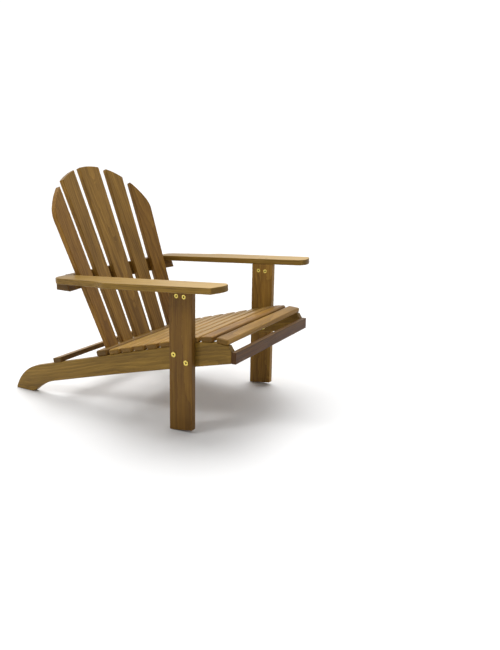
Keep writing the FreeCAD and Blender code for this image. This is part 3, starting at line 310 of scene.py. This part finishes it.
def metal(name, bright, dull, roughness, grit, reach=None):
    """A metal with uneven polish, darkened where it lies deeper than the ends of its reach, partly
    as tarnish and partly as painted shade.
    """
    material = bpy.data.materials.new(name)
    material.use_nodes = True
    tree = material.node_tree
    tree.nodes.clear()
    place = add(tree, "ShaderNodeTexCoord")
    spots = add(tree, "ShaderNodeTexNoise", {"Vector": place.outputs["Object"], "Scale": 1 / grit,
                                             "Detail": 4.0})
    share = add(tree, "ShaderNodeMapRange", {"Value": spots.outputs["Fac"],
                                             "From Min": CLEAN_BELOW, "From Max": DULL_ABOVE})
    colour = add(tree, "ShaderNodeMix", {"Factor": share.outputs[0], "A": linear(bright),
                                         "B": linear(dull)}, data_type="RGBA").outputs["Result"]
    finish = add(tree, "ShaderNodeMapRange", {"Value": share.outputs[0],
                                              "To Min": roughness[0], "To Max": roughness[1]})
    relief = add(tree, "ShaderNodeBump", {"Height": spots.outputs["Fac"], "Strength": 0.1,
                                          "Distance": 0.1 * MM})
    # tarnish and painted shade: surfaces that lie deeper than the end faces are painted dark
    if reach is not None:
        inner, outer = reach
        spot = add(tree, "ShaderNodeSeparateXYZ", {0: place.outputs["Object"]})
        outward = add(tree, "ShaderNodeMath", {0: spot.outputs["X"]}, operation="ABSOLUTE")
        middle = add(tree, "ShaderNodeMath", {0: outward.outputs[0], 1: (inner + outer) / 2},
                     operation="SUBTRACT")
        off_middle = add(tree, "ShaderNodeMath", {0: middle.outputs[0]}, operation="ABSOLUTE")
        half = (outer - inner) / 2
        hollow_darkening = add(tree, "ShaderNodeMapRange", {"Value": off_middle.outputs[0],
                                                   "From Min": half - RUBBED_DEPTH,
                                                   "From Max": half - TARNISH_AND_SHADE_DEPTH})
        colour = add(tree, "ShaderNodeMix", {"Factor": hollow_darkening.outputs[0], "A": colour,
                                             "B": linear(TARNISH_AND_SHADE_TONE)},
                     data_type="RGBA").outputs["Result"]
    surface = add(tree, "ShaderNodeBsdfPrincipled",
                  {"Base Color": colour, "Metallic": 1.0,
                   "Roughness": finish.outputs[0], "Normal": relief.outputs[0]})
    add(tree, "ShaderNodeOutputMaterial", {"Surface": surface.outputs[0]})
    return material


def dress(node, material):
    """Give a node one material."""
    nodes[node].data.materials.clear()
    nodes[node].data.materials.append(material)


steel = metal("zinc_plated_steel", ZINC, DULL_ZINC, PLATED, ZINC_GRIT)
for node in ("leg_bolts", "arm_barrel_nuts"):
    outward = [abs(corner.co.x) for corner in nodes[node].data.vertices]
    dress(node, metal(f"satin_brass_{node}", BRASS, DULL_BRASS, SATIN, BRASS_GRIT,
                      (min(outward), max(outward))))
dress("leg_sleeve_nuts", metal("satin_brass", BRASS, DULL_BRASS, SATIN, BRASS_GRIT))
for node in ("arm_bolts", "deck_screws", "back_rail_screws", "slat_foot_screws", "arm_rear_screws"):
    dress(node, steel)
print("metals:", [m.name for m in bpy.data.materials if "brass" in m.name or "steel" in m.name])

# %% [markdown]
# ## Floor
# The chair stands on pale matt paper. A paper sheet has no gloss, so its shader has no specular
# part, and it reaches far enough that its edge is out of sight.

# %% Floor
FLOOR_HALF = 30
PAPER_ALBEDO = 0.74
sheet = bmesh.new()
bmesh.ops.create_grid(sheet, x_segments=1, y_segments=1, size=FLOOR_HALF)
floor_mesh = bpy.data.meshes.new("floor")
sheet.to_mesh(floor_mesh)
sheet.free()
floor = bpy.data.objects.new("floor", floor_mesh)
bpy.context.scene.collection.objects.link(floor)
paper = bpy.data.materials.new("pale_paper")
paper.use_nodes = True
paper_shader = paper.node_tree.nodes["Principled BSDF"]
paper_shader.inputs["Base Color"].default_value = (PAPER_ALBEDO, PAPER_ALBEDO, PAPER_ALBEDO, 1)
paper_shader.inputs["Roughness"].default_value = 1.0
paper_shader.inputs["Specular IOR Level"].default_value = 0.0
floor_mesh.materials.append(paper)
print("the floor has", len(floor_mesh.polygons), "face")

# %% [markdown]
# ## Light
# A very wide sun stands for a big diffuser above and behind the chair: it lights the tops and
# leaves only soft shadows on the floor. A smaller soft box at the side gives the legs and rails
# their shape. The room itself is pale, with one brighter wall behind the chair, which the arm tops
# catch at a low angle.

# %% Lights
CHAIR_MIDDLE = (0, 0, 0.4)
TOP_LIGHT_FROM, TOP_LIGHT_STRENGTH, TOP_LIGHT_SPREAD = (1.4, 0.9, 4.0), 3.0, math.radians(55)
SIDE_LIGHT_FROM, SIDE_LIGHT_WATTS, SIDE_LIGHT_SIZE = (-2.4, 1.3, 2.4), 34, 0.7


def aimed(name, kind, place, aim, energy):
    """A light at a place, looking at a point."""
    light = bpy.data.lights.new(name, kind)
    light.energy = energy
    lamp = bpy.data.objects.new(name, light)
    bpy.context.scene.collection.objects.link(lamp)
    away = Vector(place) - Vector(aim)
    turn = away.to_track_quat("Z", "Y").to_matrix().to_4x4()
    lamp.matrix_world = Matrix.Translation(place) @ turn
    return lamp


top_light = aimed("top_light", "SUN", TOP_LIGHT_FROM, CHAIR_MIDDLE, TOP_LIGHT_STRENGTH)
top_light.data.angle = TOP_LIGHT_SPREAD
side_light = aimed("side_light", "AREA", SIDE_LIGHT_FROM, CHAIR_MIDDLE, SIDE_LIGHT_WATTS)
side_light.data.size = SIDE_LIGHT_SIZE
print("lights:", top_light.name, side_light.name)

# %% A pale room with one bright wall
WALL_SIDE = (0.88, 0.47, 0.0)
ROOM_STRENGTH, WALL_STRENGTH = 0.35, 1.05
WALL_FADES_FROM, WALL_IS_FULL_AT = -0.3, 0.6

world = bpy.data.worlds.new("pale_room")
bpy.context.scene.world = world
world.use_nodes = True
room = world.node_tree
outlook = add(room, "ShaderNodeTexCoord")
toward_wall = add(room, "ShaderNodeVectorMath",
                  {0: outlook.outputs["Generated"], 1: WALL_SIDE}, operation="DOT_PRODUCT")
strength = add(room, "ShaderNodeMapRange",
               {"Value": toward_wall.outputs["Value"], "From Min": WALL_FADES_FROM,
                "From Max": WALL_IS_FULL_AT, "To Min": ROOM_STRENGTH,
                "To Max": WALL_STRENGTH}, interpolation_type="SMOOTHSTEP")
background = room.nodes["Background"]
background.inputs["Color"].default_value = linear("#ffffff")
room.links.new(strength.outputs[0], background.inputs["Strength"])
bpy.context.scene.view_settings.view_transform = "Standard"
print("the room is lit from", len(bpy.data.lights), "lamps and one wall")

# %% [markdown]
# ## Camera
# The camera stands a little above arm height, in front of the chair and to its side, and looks
# slightly down, so that one arm, the seat and the fanned back all show. Its three axes are built
# from a heading, a downward tilt and a slight roll.

# %% Camera
CAMERA_PLACE = (-2.1566, -1.5854, 0.9816)
AZIMUTH = math.radians(62.109)
DOWN = math.radians(12.831)
ROLL = math.radians(1.313)
SENSOR_HEIGHT, LENS = 24.0, 25.35
SHIFT = (-0.0138, -0.0364)

ahead = Vector((math.sin(AZIMUTH) * math.cos(DOWN), math.cos(AZIMUTH) * math.cos(DOWN),
                -math.sin(DOWN)))
level_right = Vector((math.cos(AZIMUTH), -math.sin(AZIMUTH), 0))
level_up = level_right.cross(ahead)
right = level_right * math.cos(ROLL) + level_up * math.sin(ROLL)
up = level_up * math.cos(ROLL) - level_right * math.sin(ROLL)
camera_data = bpy.data.cameras.new("camera")
camera = bpy.data.objects.new("camera", camera_data)
bpy.context.scene.collection.objects.link(camera)
axes = Matrix((right, up, -ahead)).transposed().to_4x4()
camera.matrix_world = Matrix.Translation(CAMERA_PLACE) @ axes
camera_data.sensor_fit = "VERTICAL"
camera_data.sensor_height = SENSOR_HEIGHT
camera_data.lens = LENS
camera_data.shift_x, camera_data.shift_y = SHIFT
bpy.context.scene.camera = camera
print("camera at", CAMERA_PLACE)

# %% [markdown]
# ## The end
# The finished chair should fill the same box as the imported model, since only finishes were
# added.

# %% The end
print("the end")
